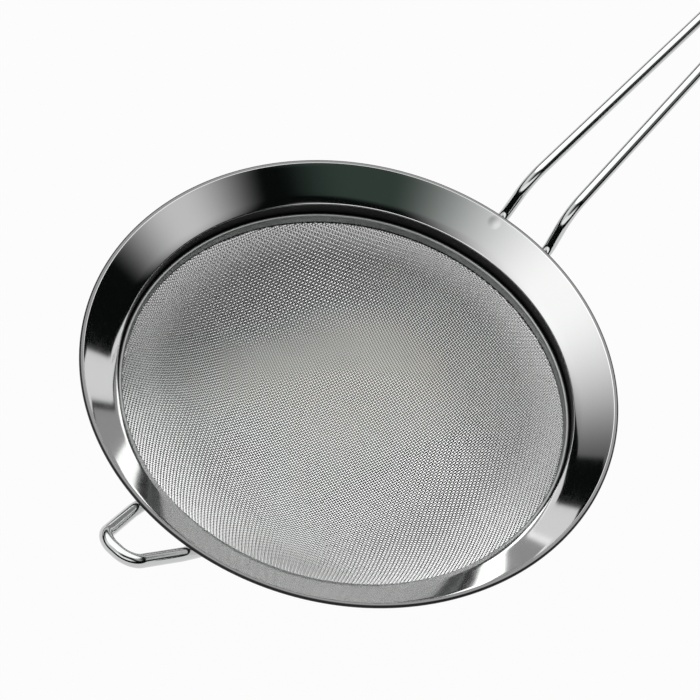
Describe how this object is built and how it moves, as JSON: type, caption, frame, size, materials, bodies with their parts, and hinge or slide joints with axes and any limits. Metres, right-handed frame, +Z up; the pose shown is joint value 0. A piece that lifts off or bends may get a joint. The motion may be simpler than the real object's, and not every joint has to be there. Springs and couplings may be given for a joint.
{
  "type": "fine-mesh kitchen strainer",
  "caption": "Round stainless strainer: a dished wire-mesh bowl clamped in a spun conical rim, with a bent-rod handle and a rest loop that hooks over a pot.",
  "frame": {"origin": "middle of the small flat under the mesh bowl", "axes": "+Z up along the bowl's axis, +X out along the handle, the rest loop along -X"},
  "size_m": [0.4694, 0.24, 0.141],
  "materials": {
    "polished_steel": "mirror-polished stainless sheet with fine wiping scratches",
    "wire_cloth": "plain-woven bright stainless wire",
    "satin_steel": "satin, brushed round the ring",
    "polished_rod": "polished drawn rod"
  },
  "bodies": {
    "root": {"rim": "polished_steel", "mesh_bowl": "wire_cloth", "clamp_ring": "satin_steel", "handle_rod": "polished_rod", "rest_loop": "polished_rod"}
  },
  "joints": []
}
